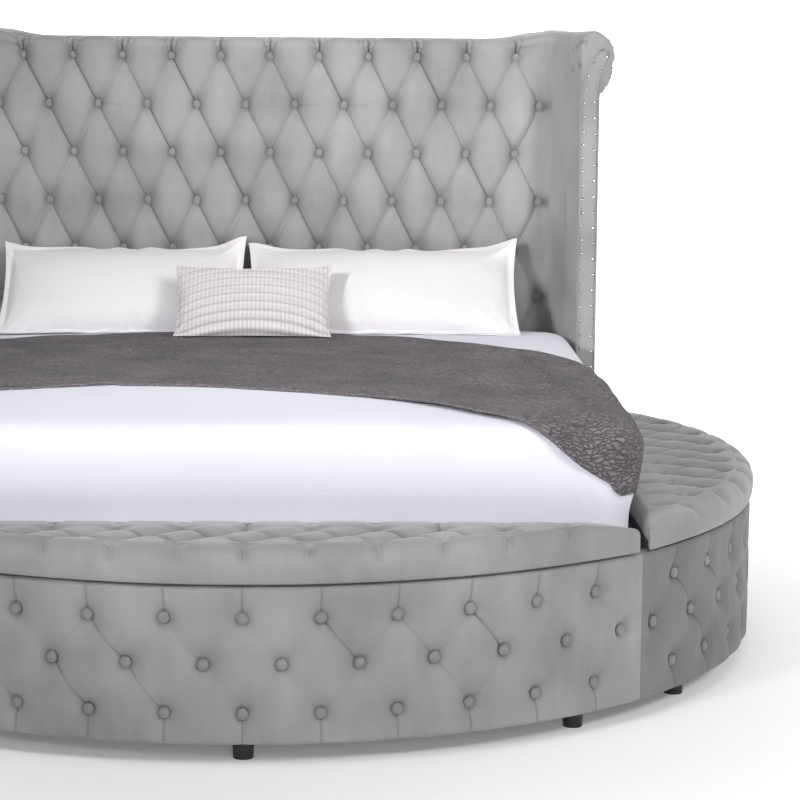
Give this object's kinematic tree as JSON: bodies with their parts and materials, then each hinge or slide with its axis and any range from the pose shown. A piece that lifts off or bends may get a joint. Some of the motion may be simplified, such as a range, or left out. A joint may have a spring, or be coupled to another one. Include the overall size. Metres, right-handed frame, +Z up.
{
  "type": "round storage bed",
  "caption": "Round upholstered bed: a winged tufted headboard and a ring of tufted storage benches with lift-up lids round a platform with mattress, coverlet, runner and pillows.",
  "frame": {"origin": "on the floor in the middle of the ring of benches, under the middle leg of the platform", "axes": "+Z up, -Y towards the foot of the bed, +Y towards the headboard, +X to the right seen from the foot"},
  "size_m": [2.8558, 2.6939, 1.747],
  "materials": {
    "back_cloth": "plain backing cloth",
    "board": "sanded plywood",
    "button": "velvet covered button",
    "coverlet": "white cotton",
    "cushion": "pleated cotton",
    "foot": "dark stained",
    "mattress": "knitted mattress cover",
    "nail": "polished nailheads",
    "pillow": "smooth cotton pillow case",
    "rubber": "soft bumpers",
    "runner": "quilted cotton throw",
    "steel": "zinc plated",
    "timber": "planed pine",
    "velvet": "soft velvet upholstery, silver grey"
  },
  "bodies": {
    "bed": {"accent_cushion": "cushion", "bench_bolts": "steel", "bench_end_blocks": "back_cloth", "bench_feet": "foot", "centre_beam": "timber", "centre_legs": "timber", "coverlet": "coverlet", "foot_bottom_board": "board", "foot_inner_wall": "board", "foot_outer_wall": "board", "foot_rail": "timber", "foot_wall_pad": "velvet", "head_rail": "timber", "headboard_arms": "timber", "headboard_back_cover": "back_cloth", "headboard_board": "board", "headboard_buttons": "button", "headboard_feet": "foot", "headboard_frame_rails": "timber", "headboard_lower_cover": "back_cloth", "headboard_pad": "velvet", "headboard_stiles": "timber", "left_bottom_board": "board", "left_inner_wall": "board", "left_outer_wall": "board", "left_pillow": "pillow", "left_rail": "timber", "left_wall_pad": "velvet", "left_wing_board": "board", "left_wing_facing": "velvet", "left_wing_pad": "velvet", "lid_bumpers": "rubber", "lid_hinge_fixed_leaves": "steel", "lid_hinge_pins": "steel", "mattress": "mattress", "right_bottom_board": "board", "right_inner_wall": "board", "right_outer_wall": "board", "right_pillow": "pillow", "right_rail": "timber", "right_wall_pad": "velvet", "right_wing_board": "board", "right_wing_facing": "velvet", "right_wing_pad": "velvet", "runner": "runner", "slats": "timber", "wall_buttons": "button", "wing_nailheads": "nail"},
    "foot_lid": {"foot_lid_board": "board", "foot_lid_buttons": "button", "foot_lid_leaves": "steel", "foot_lid_pad": "velvet"},
    "right_lid": {"right_lid_board": "board", "right_lid_buttons": "button", "right_lid_leaves": "steel", "right_lid_pad": "velvet"},
    "left_lid": {"left_lid_board": "board", "left_lid_buttons": "button", "left_lid_leaves": "steel", "left_lid_pad": "velvet"}
  },
  "joints": [
    {"name": "foot_lid_hinge", "type": "hinge", "parent": "bed", "child": "foot_lid", "pos_m": [0, -1.013, 0.484], "axis": [-1, 0, 0], "range_deg": [0, 70]},
    {"name": "right_lid_hinge", "type": "hinge", "parent": "bed", "child": "right_lid", "pos_m": [1.013, 0, 0.484], "axis": [0, -1, 0], "range_deg": [0, 70]},
    {"name": "left_lid_hinge", "type": "hinge", "parent": "bed", "child": "left_lid", "pos_m": [-1.013, 0, 0.484], "axis": [0, 1, 0], "range_deg": [0, 70]}
  ]
}
